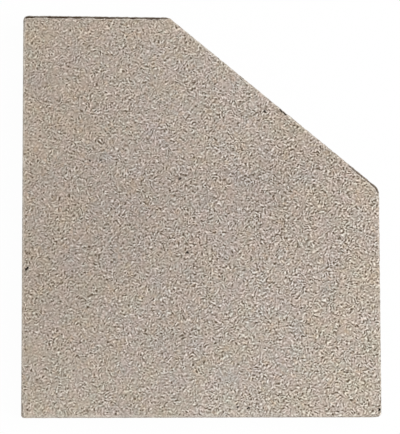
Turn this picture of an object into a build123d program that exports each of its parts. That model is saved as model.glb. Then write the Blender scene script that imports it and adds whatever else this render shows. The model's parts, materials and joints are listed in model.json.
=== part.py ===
"""Stove side brick: one slab of pressed vermiculite that lines the side of a firebox.

The slab lies on its back face. +X points to the front of the firebox, +Y to its top and +Z to the fire.
The upper front corner is cut off on a slope, where the smoke baffle passes over the brick.
The origin is at the middle of the bounding rectangle, on the back face. All sizes are in millimetres.
"""

import os

from build123d import *

# Slab
width = 223.0  # from the rear edge to the front edge
height = 250.0  # from the foot edge to the top edge
thickness = 25.0  # from the back face to the fire face

# Slope: it joins the two edges that stop short of the cut-off corner
top_edge = 91.0  # from the rear edge to the head of the slope
front_edge = 142.5  # from the foot edge to the foot of the slope

# Rounding
kept_corner_radius = 1.8  # where the rear edge meets the foot edge, the best kept corner
worn_corner_radius = 3.2  # the other two square corners
slope_head_radius = 5.0  # where the top edge turns down into the slope
slope_foot_radius = 7.2  # where the slope turns down into the front edge
arris_radius = 0.8  # every edge around the two faces

# Corners of the outline, before rounding
rear_x = -width / 2
front_x = width / 2
foot_y = -height / 2
top_y = height / 2
rear_foot = (rear_x, foot_y)
front_foot = (front_x, foot_y)
slope_foot = (front_x, foot_y + front_edge)
slope_head = (rear_x + top_edge, top_y)
rear_top = (rear_x, top_y)

corner_radii = {
    rear_foot: kept_corner_radius,
    front_foot: worn_corner_radius,
    slope_foot: slope_foot_radius,
    slope_head: slope_head_radius,
    rear_top: worn_corner_radius,
}

with BuildPart() as side_brick:
    with BuildSketch(Plane.XY) as outline:
        with BuildLine():
            Polyline(*corner_radii, close=True)
        make_face()
        for corner, radius in corner_radii.items():
            fillet(outline.vertices().sort_by_distance(corner)[0], radius)
    extrude(amount=thickness)
    back_face, *_, fire_face = side_brick.faces().sort_by(Axis.Z)
    fillet(back_face.edges() + fire_face.edges(), arris_radius)
side_brick.part.label = "side_brick"

os.makedirs("parts", exist_ok=True)
export_step(side_brick.part, "parts/side_brick.step")
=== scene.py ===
"""Looks of the stove side brick: a slab of pressed vermiculite flakes, matte and finely crumbled.

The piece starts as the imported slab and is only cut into, so it keeps the slab's size to a tenth of a
millimetre. Sizes are in millimetres. Every pattern is worked out from a point's place on the smooth
slab, so that the carved relief and the colours agree.
"""

import json
import math

import bpy
import numpy as np
from mathutils import Euler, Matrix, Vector


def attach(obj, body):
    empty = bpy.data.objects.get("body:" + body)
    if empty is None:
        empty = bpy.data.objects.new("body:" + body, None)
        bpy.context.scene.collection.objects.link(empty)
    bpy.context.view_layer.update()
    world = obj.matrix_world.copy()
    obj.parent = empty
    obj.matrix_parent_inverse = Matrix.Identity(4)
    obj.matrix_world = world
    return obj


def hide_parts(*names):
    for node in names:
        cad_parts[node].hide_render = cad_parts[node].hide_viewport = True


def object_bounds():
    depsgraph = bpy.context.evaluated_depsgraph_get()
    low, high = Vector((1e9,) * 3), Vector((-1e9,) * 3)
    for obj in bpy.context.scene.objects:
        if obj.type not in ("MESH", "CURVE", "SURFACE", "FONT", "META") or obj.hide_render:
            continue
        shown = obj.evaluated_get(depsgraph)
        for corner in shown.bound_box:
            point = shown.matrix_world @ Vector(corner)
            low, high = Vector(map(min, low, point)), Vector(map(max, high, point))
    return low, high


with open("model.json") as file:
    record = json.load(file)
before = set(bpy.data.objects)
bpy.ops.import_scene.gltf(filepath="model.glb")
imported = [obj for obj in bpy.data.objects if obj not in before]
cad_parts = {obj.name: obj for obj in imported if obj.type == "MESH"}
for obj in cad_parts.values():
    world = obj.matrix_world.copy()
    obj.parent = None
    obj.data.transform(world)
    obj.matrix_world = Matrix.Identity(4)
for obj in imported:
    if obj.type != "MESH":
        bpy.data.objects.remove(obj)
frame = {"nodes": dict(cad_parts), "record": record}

MM = 0.001  # one millimetre in Blender's metres
cad_low, cad_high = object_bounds()
width, height, thickness = (cad_high - cad_low) / MM
rear, foot, _ = cad_low / MM
front, top, _ = cad_high / MM
slab = frame["nodes"]["side_brick"].data
walls = [mount for mount in frame["record"]["mounts"] if mount["name"].endswith("_edge")]

# Mesh
voxel = 0.5  # grid of the dense mesh that is carved
triangles_kept = 190_000  # left of it after thinning
chart_shift = 2 * height  # between two sides on the leaves' chart, so that no two have the same grain
sheet_margin = 2.0  # between two sides on the map that lays them all out

# Flakes
flake_size = 3.2  # across a flake, in the plane of the slab
flake_flatness = 2.5  # how many times thinner a flake is than wide, because it lies flat in the press
flake_step = 0.16  # how far some flakes lie below others
flake_tilt = 0.10  # slope of the most tilted flakes
flake_stir = 1.5  # how far their outlines are pushed about
crumb_size = 1.4  # of the fine crumbs between them
crumb_depth = 0.12
crumb_limits = (0.35, 0.65)  # values of the noise between which a crumb begins

# Leaves, the thin sheets that each flake is a stack of; their edges make the worm-like grain
leaf_pitch = 2.05  # between two edges
leaf_run = 2.05  # how far an edge keeps its direction
leaf_order = 0.26  # how far neighbouring edges run the same way, from 0 to 1
lie_size = 8.3  # of the patches where they do
lie_turn = 1.5 * math.pi  # how far the way they run turns from patch to patch
lie_middle = math.radians(16)  # the way that they run on the whole, up from the X axis
leaf_height = 0.07  # of an edge
leaf_gain = 12.0  # brings the strength of the edges to about -3 to 3
wall_stretch = (1.43, 0.5)  # of the edges along and up the walls, where the leaves are seen from their ends
bend_size = 4.2  # of the bends in the edges
bend_reach = 1.8
patch_size = 14.0  # of the patches with strong and with faint grain
patch_contrast = 0.75
speckle_size = 3.6  # of the small ones among them
speckle_contrast = 1.5
front_contrast = 0.2  # how much stronger the grain is at the front edge than in the middle

# Detail of the noises: how many times finer lumps are laid over the first ones
slight_detail = 1.0  # of the chips and the clouds
ragged_detail = 3.0  # of the dust and the grime
tint_detail = 4.5  # of the drift of the tint

# Pits where a grain has fallen out
pit_spacing = 6.0
pit_share = 0.34  # of the places where one could be
pit_radius = 0.6
pit_soft = 0.5  # width of its slope
pit_depth = 0.5

# Wear
arris_reach = 1.6  # how far from an arris the crumbling reaches
chip_size = 3.0
chip_depth = 0.4
chip_limits = (0.45, 0.7)  # values of the noise between which a chip begins
dust_reach = 2.0  # how far from an arris the pale dust reaches
dust_cover = 0.7
dust_rear = 0.3  # how much more of it there is at the rear than in the middle
dust_top = 0.25  # and at the top
dust_patch = 4.0  # size of its thick and thin patches
dust_limits = (0.3, 0.55)  # values of the noise between which a thick one begins

# Marks on the fire face: start, end, half width and depth of each
marks = [
    ((-109.0, -34.0), (-107.6, -32.5), 0.3, 1.5),  # black pit beside the rear arris
    ((110.3, -120.3), (110.3, -120.6), 0.5, 1.5),  # nick in the front arris near the foot
    ((49.6, 67.2), (52.8, 64.6), 0.5, 0.8),  # notch in the slope arris
    ((61.8, 56.9), (56.1, 53.0), 0.15, 0.4),  # crack running in from the slope arris
    ((-94.8, -27.0), (-92.4, -30.3), 0.12, 0.3),  # hairline
    ((-94.9, -26.9), (-94.6, -27.0), 0.3, 0.7),  # pit at its end
    ((-14.0, 23.1), (-13.6, 23.1), 0.4, 0.8),  # single pits, from here on
    ((-69.9, 34.1), (-69.5, 34.1), 0.2, 0.8),
    ((-63.2, 34.1), (-62.8, 34.1), 0.2, 0.8),
    ((39.4, 66.0), (39.8, 66.0), 0.4, 0.8),
    ((-9.7, -23.1), (-8.9, -23.0), 0.35, 0.9),
    ((21.6, -118.8), (22.0, -118.8), 0.35, 0.9),
    ((28.2, -119.3), (28.6, -119.3), 0.35, 0.9),
    ((108.1, -123.2), (108.5, -123.2), 0.35, 0.5),
]
mark_soft = 0.6  # width of a mark's slope
mark_stir_size = 1.5
mark_stir = 1.2  # how far its outline is pushed about
mark_darkest = 0.9  # depth at which its painted shade is as dark as a hollow

# Dark line painted along the fire face's arrises: start and end of each stretch, and how much there is, up
# to 1
dark_line_stretches = [
    ((rear + 2.0, top), (-23.0, top), 0.6),
    ((rear + 2.5, top), (-105.5, top), 0.85),
    ((-95.0, top), (-85.0, top), 1.0),
    ((-79.5, top), (-77.0, top), 0.95),
    ((-66.0, top), (-62.5, top), 0.9),
    ((-59.5, top), (-55.0, top), 0.8),
    ((-51.0, top), (-50.5, top), 0.8),
    ((-43.5, top), (-42.9, top), 1.0),
    ((-33.5, top), (-28.0, top), 1.0),
    ((rear, top - 3.0), (rear, top - 9.0), 0.35),
    ((rear, foot), (rear, foot + 6.0), 0.4),
    ((rear, foot), (front, foot), 0.15),
    ((94.0, 31.5), (105.0, 22.5), 0.52),
    ((107.5, 20.0), (110.7, 16.8), 0.6),
]
dark_line_end = 1.5  # length over which a stretch begins and ends
dark_line_reach = 2.05  # how far from an arris the darkest line reaches over the face
dark_line_run = 5.0  # how many times farther it reaches down the walls
dark_line_fade = 9.0  # how far down the walls it fades away
dark_line_crumb = 1.8  # size of the crumbs at its border
dark_line_ragged = 0.4  # how far they push the border about
dark_line_soft = 0.28  # half the width of the border
dark_line_full = 0.8  # amount that hides the brick wholly
dark_line_inward = (0.2, 0.8)  # distances inside the outline between which it grows from its share on the arris to full strength
dark_line_on_arris = 0.5  # its share on the arris itself
dark_line_patch = 4.0  # size of its thick and thin patches
dark_line_limits = (0.35, 0.6)  # values of the noise between which a thick one begins
dark_line_thin = 0.85  # cover of the thin ones
rim_width = 0.8  # of the pale rim beside the dark line
rim_fade = 1.0  # how far down the walls the rim has faded away
rim_cover = 0.8

# Colours
# The dark and pale ends of the grain are partly the flakes' own colours, and partly painted shade in the
# crevices between leaves and painted glints on their edges
dark_leaf_and_shade = (0.105, 0.070, 0.040, 1.0)
middle_leaf = (0.460, 0.392, 0.338, 1.0)
pale_leaf_and_glint = (0.93, 0.86, 0.78, 1.0)
dust = (0.72, 0.65, 0.56, 1.0)
# colour of the dark line painted along the arrises
dark_line = (0.042, 0.019, 0.004, 1.0)
hollow_shade = (0.026, 0.018, 0.011, 1.0)  # painted shade inside the marks
gold = (1.0, 0.965, 0.91, 1.0)  # tint of the few golden flakes
gold_share = 0.18
white = (1.0, 1.0, 1.0, 1.0)
base_roughness = 0.92
glossy_share = 0.3  # of the flakes
glossy_gain = 0.35  # how much smoother they are

# Drift of the tint: changes of red, green and blue, as shares of the grain's own colour
rust_drift = (0.04, 0.0, -0.26)  # between bluish and rusty patches
rose_drift = (0.15, 0.0, -0.02)  # between greenish and rosy patches
drift_size = 15.0  # of these patches
flake_drift = (0.07, 0.0, 0.0)  # between one flake and another
side_drift = (0.012, 0.0, -0.035)  # from the middle of the slab to its rear, and to its front
end_drift = (0.0, 0.0, -0.024)  # from the middle to its foot, and to its top
top_drift = (0.007, 0.0, -0.007)  # from the middle to its top, and the other way to its foot

# Lightness of the grain, from 0 for the dark leaf's colour to 1 for the pale one's. Where the leaves make
# it dark it is partly painted shade in their crevices, and where they make it pale it is partly painted
# highlight and glint on their edges
middle_light = 0.390
leaf_light_and_shade = 0.140
flake_light = 0.062
cloud_light = 0.12
cloud_size = 70.0
end_light = 0.05  # how much paler the slab gets from the middle to its foot, and to its top
front_painted_light = 0.006  # painted light: how much paler it gets from the middle to its front, and darker the other way to its rear
foot_painted_light = 0.010  # painted light: how much paler it gets from the middle to its foot, and darker the other way to its top
# painted shade: how much darker the pits are than the grain around them
pit_shade = -0.36

# Floor, light and camera
floor_size = 8000.0
floor_gap = 0.02  # between the floor and the slab
floor_colour = (0.9, 0.9, 0.9, 1.0)
floor_roughness = 0.9
floor_white = 0.97  # share of plain white in the floor that is seen; the rest takes the shadow
sky_strength = 0.66
key_power = 9.6
key_size = 1000.0
key_place = Vector((750.0, -100.0, 1100.0))
camera_lens = 180.0
camera_place = Vector((-108.1, -133.7, 1363.1))  # fitted to the five corners of the photo's outline
camera_turn = (5.663, -4.547, -0.154)  # in degrees


class Field:
    """A number or a place that varies over the brick: a node's output. Sums and products make new nodes."""

    def __init__(self, socket):
        self.socket = socket
        self.tree = socket.id_data

    def __add__(self, other):
        return calculate("ADD", self, other)

    def __sub__(self, other):
        return calculate("SUBTRACT", self, other)

    def __rsub__(self, other):
        return calculate("SUBTRACT", other, self)

    def __mul__(self, other):
        return calculate("MULTIPLY", self, other)

    __radd__ = __add__
    __rmul__ = __mul__


def feed(socket, value):
    """Links a field to a socket, or sets a plain value on it."""
    if isinstance(value, Field):
        value.tree.links.new(value.socket, socket)
    else:
        socket.default_value = value


def new_node(tree, kind, **settings):
    node = tree.nodes.new(kind)
    for name, value in settings.items():
        setattr(node, name, value)
    return node


def tree_of(*values):
    return next(value.tree for value in values if isinstance(value, Field))


def calculate(operation, *values):
    node = new_node(tree_of(*values), "ShaderNodeMath", operation=operation)
    for socket, value in zip(node.inputs, values):
        feed(socket, value)
    return Field(node.outputs[0])


def calculate_place(operation, *values, output="Vector"):
    node = new_node(tree_of(*values), "ShaderNodeVectorMath", operation=operation)
    for socket, value in zip(node.inputs, values):
        feed(socket, value)
    return Field(node.outputs[output])


def scaled(place, factor):
    node = new_node(tree_of(place, factor), "ShaderNodeVectorMath", operation="SCALE")
    feed(node.inputs["Vector"], place)
    feed(node.inputs["Scale"], factor)
    return Field(node.outputs["Vector"])


def step(field, low, high):
    """Rises smoothly from 0 where the field is low to 1 where it is high."""
    node = new_node(field.tree, "ShaderNodeMapRange", interpolation_type="SMOOTHSTEP")
    feed(node.inputs["Value"], field)
    node.inputs["From Min"].default_value = low
    node.inputs["From Max"].default_value = high
    return Field(node.outputs["Result"])


def noise(place, size, detail=0.0, output="Fac"):
    """Soft lumps of about the given size, from 0 to 1."""
    node = new_node(place.tree, "ShaderNodeTexNoise")
    feed(node.inputs["Vector"], place)
    node.inputs["Scale"].default_value = 1 / size
    node.inputs["Detail"].default_value = detail
    return Field(node.outputs[output])


def stirred(place, size, reach):
    """The same places, pushed about smoothly."""
    push = calculate_place("SUBTRACT", noise(place, size, output="Color"), (0.5, 0.5, 0.5))
    return calculate_place("MULTIPLY_ADD", push, (reach, reach, reach), place)


def cells(place, size):
    """Cells of about the given size: distance to the nearest middle, three random numbers, that middle."""
    node = new_node(place.tree, "ShaderNodeTexVoronoi")
    feed(node.inputs["Vector"], place)
    node.inputs["Scale"].default_value = 1 / size
    wanted = ("Distance", "Color", "Position")
    distance, colour, middle = (Field(node.outputs[name]) for name in wanted)
    return distance * size, colour, middle


def parts_of(place):
    node = new_node(place.tree, "ShaderNodeSeparateXYZ")
    feed(node.inputs["Vector"], place)
    return [Field(socket) for socket in node.outputs]


def mixed(factor, first, second):
    """The first colour where the factor is 0, the second where it is 1."""
    node = new_node(factor.tree, "ShaderNodeMix", data_type="RGBA")
    feed(node.inputs["Factor"], factor)
    # The node has one A, one B and one result for each kind of value, and these are the colours
    feed(node.inputs[6], first)
    feed(node.inputs[7], second)
    return Field(node.outputs[2])


def middle_shares(place):
    """How far a place lies from the middle towards the front and the top, from -1 to 1."""
    across, along, _ = parts_of(place)
    return across * (2 / width), along * (2 / height)


def laid_flat(place):
    """Places as the press has squeezed them, a little stirred."""
    return stirred(calculate_place("MULTIPLY", place, (1.0, 1.0, flake_flatness)), flake_size, flake_stir)


def pits(lay):
    """1 in the middle of a pit, 0 outside."""
    distance, colour, _ = cells(lay, pit_spacing)
    chance, size, _ = parts_of(colour)
    there = calculate("LESS_THAN", chance, pit_share)
    return there * (1.0 - step(distance - size * pit_radius, 0.0, pit_soft))


def distance_to_line(place, start, end):
    run = end - start
    from_start = calculate_place("SUBTRACT", place, start)
    share = calculate_place("DOT_PRODUCT", from_start, run / run.length_squared, output="Value")
    share = calculate("MINIMUM", calculate("MAXIMUM", share, 0.0), 1.0)
    nearest = scaled(run, share)
    return calculate_place("DISTANCE", from_start, nearest, output="Value")


def mark_depth(place):
    """Depth of the marks, in millimetres."""
    ragged = stirred(place, mark_stir_size, mark_stir)
    depth = None
    for start, end, half_width, deepest in marks:
        distance = distance_to_line(ragged, Vector((*start, thickness)), Vector((*end, thickness)))
        cut = (1.0 - step(distance - half_width, 0.0, mark_soft)) * deepest
        depth = cut if depth is None else calculate("MAXIMUM", depth, cut)
    return depth


def outline_gap(place):
    """How far inside the slab's outline a place lies, from the nearest wall or rounded corner."""
    axes = sorted((Vector(wall["axis"]) for wall in walls), key=lambda axis: math.atan2(axis.y, axis.x))
    axes += [(axis + axes[number - 1]).normalized() for number, axis in enumerate(axes)]
    gap = None
    for axis in axes:
        reach = max(point.co.dot(axis) for point in slab.vertices) / MM
        this = reach - calculate_place("DOT_PRODUCT", place, axis, output="Value")
        gap = this if gap is None else calculate("MINIMUM", gap, this)
    return gap


def hypotenuse(first, second):
    return calculate("SQRT", first * first + second * second)


def arris_distance(place):
    """Distance from the nearest arris of the slab's two faces."""
    _, _, up = parts_of(place)
    to_face = calculate("MINIMUM", up, thickness - up)
    return hypotenuse(outline_gap(place), to_face)


def relief(place):
    """Depth below the smooth slab, in millimetres, never above it."""
    lay = laid_flat(place)
    _, colour, middle = cells(lay, flake_size)
    sunken, _, _ = parts_of(colour)
    lean = calculate_place("SUBTRACT", colour, (0.5, 0.5, 0.5))
    from_middle = calculate_place("SUBTRACT", lay, middle)
    tilt = calculate_place("DOT_PRODUCT", lean, from_middle, output="Value") * (2 * flake_tilt)
    surface = calculate("MAXIMUM", sunken * flake_step + tilt, 0.0)
    crumbs = step(noise(lay, crumb_size), *crumb_limits) * crumb_depth
    by_arris = 1.0 - step(arris_distance(place), 0.0, arris_reach)
    chip = step(noise(lay, chip_size, slight_detail), *chip_limits) * by_arris
    cuts = calculate("MAXIMUM", pits(lay) * pit_depth, mark_depth(place))
    return surface + crumbs + cuts + chip * chip_depth


def applied(thing, kind, **settings):
    """Puts one modifier on an object and makes its result the object's mesh."""
    modifier = thing.modifiers.new(kind.lower(), kind)
    for name, value in settings.items():
        setattr(modifier, name, value)
    graph = bpy.context.evaluated_depsgraph_get()
    made = bpy.data.meshes.new_from_object(
        thing.evaluated_get(graph), preserve_all_data_layers=True, depsgraph=graph
    )
    thing.modifiers.clear()
    thing.data = made


def mark_places(mesh):
    """Stores each point's place on the smooth slab."""
    found = np.empty(len(mesh.vertices) * 3, np.float32)
    mesh.vertices.foreach_get("co", found)
    mesh.attributes.new("place", "FLOAT_VECTOR", "POINT").data.foreach_set("vector", found / MM)


def carving_tree():
    """Geometry nodes that push each point of a mesh inwards by the relief at its place."""
    tree = bpy.data.node_groups.new("carving", "GeometryNodeTree")
    tree.interface.new_socket("Geometry", in_out="INPUT", socket_type="NodeSocketGeometry")
    tree.interface.new_socket("Geometry", in_out="OUTPUT", socket_type="NodeSocketGeometry")
    source = new_node(tree, "NodeGroupInput")
    sink = new_node(tree, "NodeGroupOutput")
    stored = new_node(tree, "GeometryNodeInputNamedAttribute", data_type="FLOAT_VECTOR")
    stored.inputs["Name"].default_value = "place"
    normal = Field(new_node(tree, "GeometryNodeInputNormal").outputs["Normal"])
    shift = new_node(tree, "GeometryNodeSetPosition")
    feed(shift.inputs["Offset"], scaled(normal, relief(Field(stored.outputs["Attribute"])) * -MM))
    tree.links.new(source.outputs["Geometry"], shift.inputs["Geometry"])
    tree.links.new(shift.outputs["Geometry"], sink.inputs["Geometry"])
    return tree


def flat_corners(mesh):
    """Lays every polygon flat on its own side of the slab.

    Gives, for each corner of each polygon, the number of its side and its two coordinates there. A wall's
    number is its place in the list of walls, and the fire face and the back come after the walls.
    """
    place = np.empty(len(mesh.vertices) * 3, np.float32)
    mesh.attributes["place"].data.foreach_get("vector", place)
    corner_points = np.empty(len(mesh.loops), np.int32)
    mesh.loops.foreach_get("vertex_index", corner_points)
    corners = place.reshape(-1, 3)[corner_points]
    counts = np.empty(len(mesh.polygons), np.int32)
    mesh.polygons.foreach_get("loop_total", counts)
    polygon = np.repeat(np.arange(len(counts)), counts)
    middles = np.stack([np.bincount(polygon, corners[:, i]) / counts for i in range(3)], axis=1)
    axes = np.array([wall["axis"] for wall in walls])
    reaches = np.array([np.dot(wall["pos_m"], wall["axis"]) / MM for wall in walls])
    depths = [*(reaches - middles @ axes.T).T, thickness - middles[:, 2], middles[:, 2]]
    side = np.argmin(depths, axis=0)[polygon]
    along_walls = corners[:, :2] @ np.stack([-axes[:, 1], axes[:, 0]])
    flat = corners[:, :2].astype(np.float64)
    for number in range(len(walls)):
        on_it = side == number
        flat[on_it] = np.stack([along_walls[on_it, number], corners[on_it, 2]], axis=1)
    return side, flat


def add_map(mesh, name, coordinates):
    layer = mesh.uv_layers.new(name=name)
    layer.uv.foreach_set("vector", coordinates.astype(np.float32).ravel())


def unfold(mesh):
    """Adds two maps: the leaves' chart, and one that lays all the sides beside each other in one square."""
    side, flat = flat_corners(mesh)
    on_wall = (side < len(walls))[:, None]
    chart = np.where(on_wall, flat / wall_stretch, flat)
    chart[:, 1] += side * chart_shift
    add_map(mesh, "chart", chart)
    faces = flat + (width / 2 + sheet_margin, height / 2 + sheet_margin)
    faces[side == len(walls) + 1, 0] += width + sheet_margin
    strips = flat + (height / 2 + sheet_margin, height + 2 * sheet_margin)
    strips[:, 1] += side * (thickness + sheet_margin)
    sheet = np.where(on_wall, strips, faces)
    add_map(mesh, "OFBake", sheet / (2 * width + 3 * sheet_margin))


def make_brick():
    """The slab as a dense mesh, carved with the relief of its flakes and then thinned."""
    brick = bpy.data.objects.new("vermiculite_brick", slab.copy())
    bpy.context.scene.collection.objects.link(brick)
    applied(brick, "REMESH", mode="VOXEL", voxel_size=voxel * MM)
    mark_places(brick.data)
    applied(brick, "NODES", node_group=carving_tree())
    brick.data.calc_loop_triangles()
    applied(brick, "DECIMATE", ratio=triangles_kept / len(brick.data.loop_triangles))
    unfold(brick.data)
    brick.data.shade_smooth()
    return brick


def leaves(chart):
    """Worm-like edges of leaves in random directions, about -3 to 3, strong and faint in patches."""
    node = new_node(chart.tree, "ShaderNodeTexGabor", gabor_type="2D")
    feed(node.inputs["Vector"], stirred(chart, bend_size, bend_reach))
    node.inputs["Scale"].default_value = 1 / leaf_run
    node.inputs["Frequency"].default_value = leaf_run / leaf_pitch
    node.inputs["Anisotropy"].default_value = leaf_order
    across_edges = (noise(chart, lie_size) - 0.5) * lie_turn + (lie_middle + math.pi / 2)
    feed(node.inputs["Orientation"], across_edges)
    patches = (noise(chart, patch_size) - 0.5) * patch_contrast
    speckles = (noise(chart, speckle_size) - 0.5) * speckle_contrast
    waves = (Field(node.outputs["Value"]) - 0.5) * leaf_gain
    return waves * (1.0 + patches + speckles)


def dust_cover_at(place):
    """How far the pale dust along the arrises hides the brick's own colour."""
    forward, upward = middle_shares(place)
    most = upward * dust_top - forward * dust_rear + dust_cover
    by_arris = 1.0 - step(arris_distance(place), 0.0, dust_reach)
    return by_arris * step(noise(place, dust_patch, ragged_detail), *dust_limits) * most


def dark_line_amount(place):
    """How much of the dark line there is along the nearest stretch of the outline."""
    flat = calculate_place("MULTIPLY", place, (1.0, 1.0, 0.0))
    amount = None
    for start, end, strength in dark_line_stretches:
        distance = distance_to_line(flat, Vector((*start, 0.0)), Vector((*end, 0.0)))
        here = (1.0 - step(distance, dark_line_end, 2 * dark_line_end)) * strength
        amount = here if amount is None else calculate("MAXIMUM", amount, here)
    return amount


def dark_line_and_rim(place):
    """How far the dark line along the fire face's arrises hides the brick, and how far its pale rim does.
    """
    _, _, up = parts_of(place)
    down = thickness - up
    gap = outline_gap(place)
    amount = dark_line_amount(place)
    ragged = (noise(place, dark_line_crumb, ragged_detail) - 0.5) * dark_line_ragged
    distance = hypotenuse(gap, down * (1 / dark_line_run)) + ragged
    beyond = distance - calculate("SQRT", amount) * dark_line_reach
    thick = step(noise(place, dark_line_patch, ragged_detail), *dark_line_limits)
    patches = thick * (1.0 - dark_line_thin) + dark_line_thin
    inward = step(gap, *dark_line_inward) * (1.0 - dark_line_on_arris) + dark_line_on_arris
    faded = 1.0 - step(down, 0.0, dark_line_fade)
    hidden = step(amount, 0.0, dark_line_full)
    cover = (1.0 - step(beyond, -dark_line_soft, dark_line_soft)) * hidden * patches * inward * faded
    on_face = 1.0 - step(down, 0.0, rim_fade)
    within_rim = step(beyond, -dark_line_soft, dark_line_soft) * (1.0 - step(beyond, rim_width / 2, rim_width))
    return cover, within_rim * on_face * amount * rim_cover


def grain_colour(place, leaf, lay, flake_tone, flake_blush):
    """Colour of the flakes and their leaves, partly painted shade and highlight along the leaves' edges,
    with its slow drift over the brick, part of which is painted light.
    """
    forward, upward = middle_shares(place)
    clouds = (noise(place, cloud_size, slight_detail) - 0.5) * cloud_light
    # The paler front and foot here are painted light
    slow = upward * upward * end_light + forward * front_painted_light - upward * foot_painted_light + clouds
    # The pits are darkened here with painted shade
    light = leaf * leaf_light_and_shade + flake_tone * flake_light + pits(lay) * pit_shade + slow + middle_light
    colour = new_node(place.tree, "ShaderNodeValToRGB")
    ramp = colour.color_ramp
    ramp.elements[0].color = dark_leaf_and_shade
    ramp.elements[1].color = pale_leaf_and_glint
    ramp.elements.new(0.5).color = middle_leaf
    feed(colour.inputs["Fac"], light)
    warmth, blush, _ = parts_of(noise(place, drift_size, tint_detail, "Color"))
    drifts = [
        (rust_drift, warmth - 0.5),
        (rose_drift, blush - 0.5),
        (flake_drift, flake_blush - 0.5),
        (side_drift, forward * forward),
        (end_drift, upward * upward),
        (top_drift, upward),
    ]
    tint = (1.0, 1.0, 1.0)
    for change, share in drifts:
        tint = calculate_place("ADD", scaled(change, share), tint)
    return calculate_place("MULTIPLY", Field(colour.outputs["Color"]), tint)


def vermiculite():
    material = bpy.data.materials.new("vermiculite")
    material.use_nodes = True
    tree = material.node_tree
    shader = tree.nodes["Principled BSDF"]
    place = Field(new_node(tree, "ShaderNodeAttribute", attribute_name="place").outputs["Vector"])
    chart = Field(new_node(tree, "ShaderNodeUVMap", uv_map="chart").outputs["UV"])
    lay = laid_flat(place)
    forward, _ = middle_shares(place)
    leaf = leaves(chart) * (1.0 + forward * front_contrast)
    _, flake_colour, _ = cells(lay, flake_size)
    tone, gloss, luck = parts_of(flake_colour)
    golden = mixed(step(luck, 1.0 - gold_share, 1.0), white, gold)
    body = calculate_place("MULTIPLY", grain_colour(place, leaf, lay, tone, gloss), golden)
    dusty = mixed(dust_cover_at(place), body, dust)
    dark_line_share, rim_share = dark_line_and_rim(place)
    rimmed = mixed(rim_share, dusty, pale_leaf_and_glint)
    # The dark line painted along the arrises and a little way down the walls
    dark_lined = mixed(dark_line_share, rimmed, dark_line)
    # Painted shade darkens the marks with their depth
    marked = mixed(step(mark_depth(place), 0.0, mark_darkest), dark_lined, hollow_shade)
    feed(shader.inputs["Base Color"], marked)
    feed(shader.inputs["Roughness"], base_roughness - step(gloss, 1.0 - glossy_share, 1.0) * glossy_gain)
    bump = new_node(tree, "ShaderNodeBump")
    feed(bump.inputs["Height"], leaf * (leaf_height * MM))
    bump.inputs["Distance"].default_value = 1.0
    tree.links.new(bump.outputs["Normal"], shader.inputs["Normal"])
    return material


def make_floor():
    bpy.ops.mesh.primitive_plane_add(size=floor_size * MM, location=(0, 0, -floor_gap * MM))
    floor = bpy.context.object
    floor.name = "floor"
    material = bpy.data.materials.new("floor")
    material.use_nodes = True
    tree = material.node_tree
    shader = tree.nodes["Principled BSDF"]
    shader.inputs["Base Color"].default_value = floor_colour
    shader.inputs["Roughness"].default_value = floor_roughness
    glow = new_node(tree, "ShaderNodeEmission")
    glow.inputs["Color"].default_value = white
    rays = new_node(tree, "ShaderNodeLightPath")
    seen = calculate("MAXIMUM", Field(rays.outputs["Is Camera Ray"]), Field(rays.outputs["Is Glossy Ray"]))
    seen = calculate("MAXIMUM", seen, Field(rays.outputs["Is Transmission Ray"]))
    mix = new_node(tree, "ShaderNodeMixShader")
    feed(mix.inputs["Fac"], seen * floor_white)
    tree.links.new(shader.outputs["BSDF"], mix.inputs[1])
    tree.links.new(glow.outputs["Emission"], mix.inputs[2])
    tree.links.new(mix.outputs["Shader"], tree.nodes["Material Output"].inputs["Surface"])
    floor.data.materials.append(material)


def make_light():
    world = bpy.data.worlds.new("studio")
    bpy.context.scene.world = world
    world.use_nodes = True
    sky = world.node_tree.nodes["Background"]
    sky.inputs["Color"].default_value = white
    sky.inputs["Strength"].default_value = sky_strength
    lamp = bpy.data.lights.new("key", "AREA")
    lamp.shape = "DISK"
    lamp.size = key_size * MM
    lamp.energy = key_power
    key = bpy.data.objects.new("key", lamp)
    key.location = key_place * MM
    key.rotation_euler = (-key.location).to_track_quat("-Z", "Y").to_euler()
    bpy.context.scene.collection.objects.link(key)


def make_camera():
    camera = bpy.data.objects.new("camera", bpy.data.cameras.new("camera"))
    camera.data.lens = camera_lens
    camera.location = camera_place * MM
    camera.rotation_euler = Euler([math.radians(angle) for angle in camera_turn])
    bpy.context.scene.collection.objects.link(camera)
    bpy.context.scene.camera = camera


bpy.context.scene.view_settings.view_transform = "Standard"
make_camera()
make_light()
make_floor()
brick = make_brick()
brick.data.materials.clear()
brick.data.materials.append(vermiculite())
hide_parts("side_brick")
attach(brick, "root")
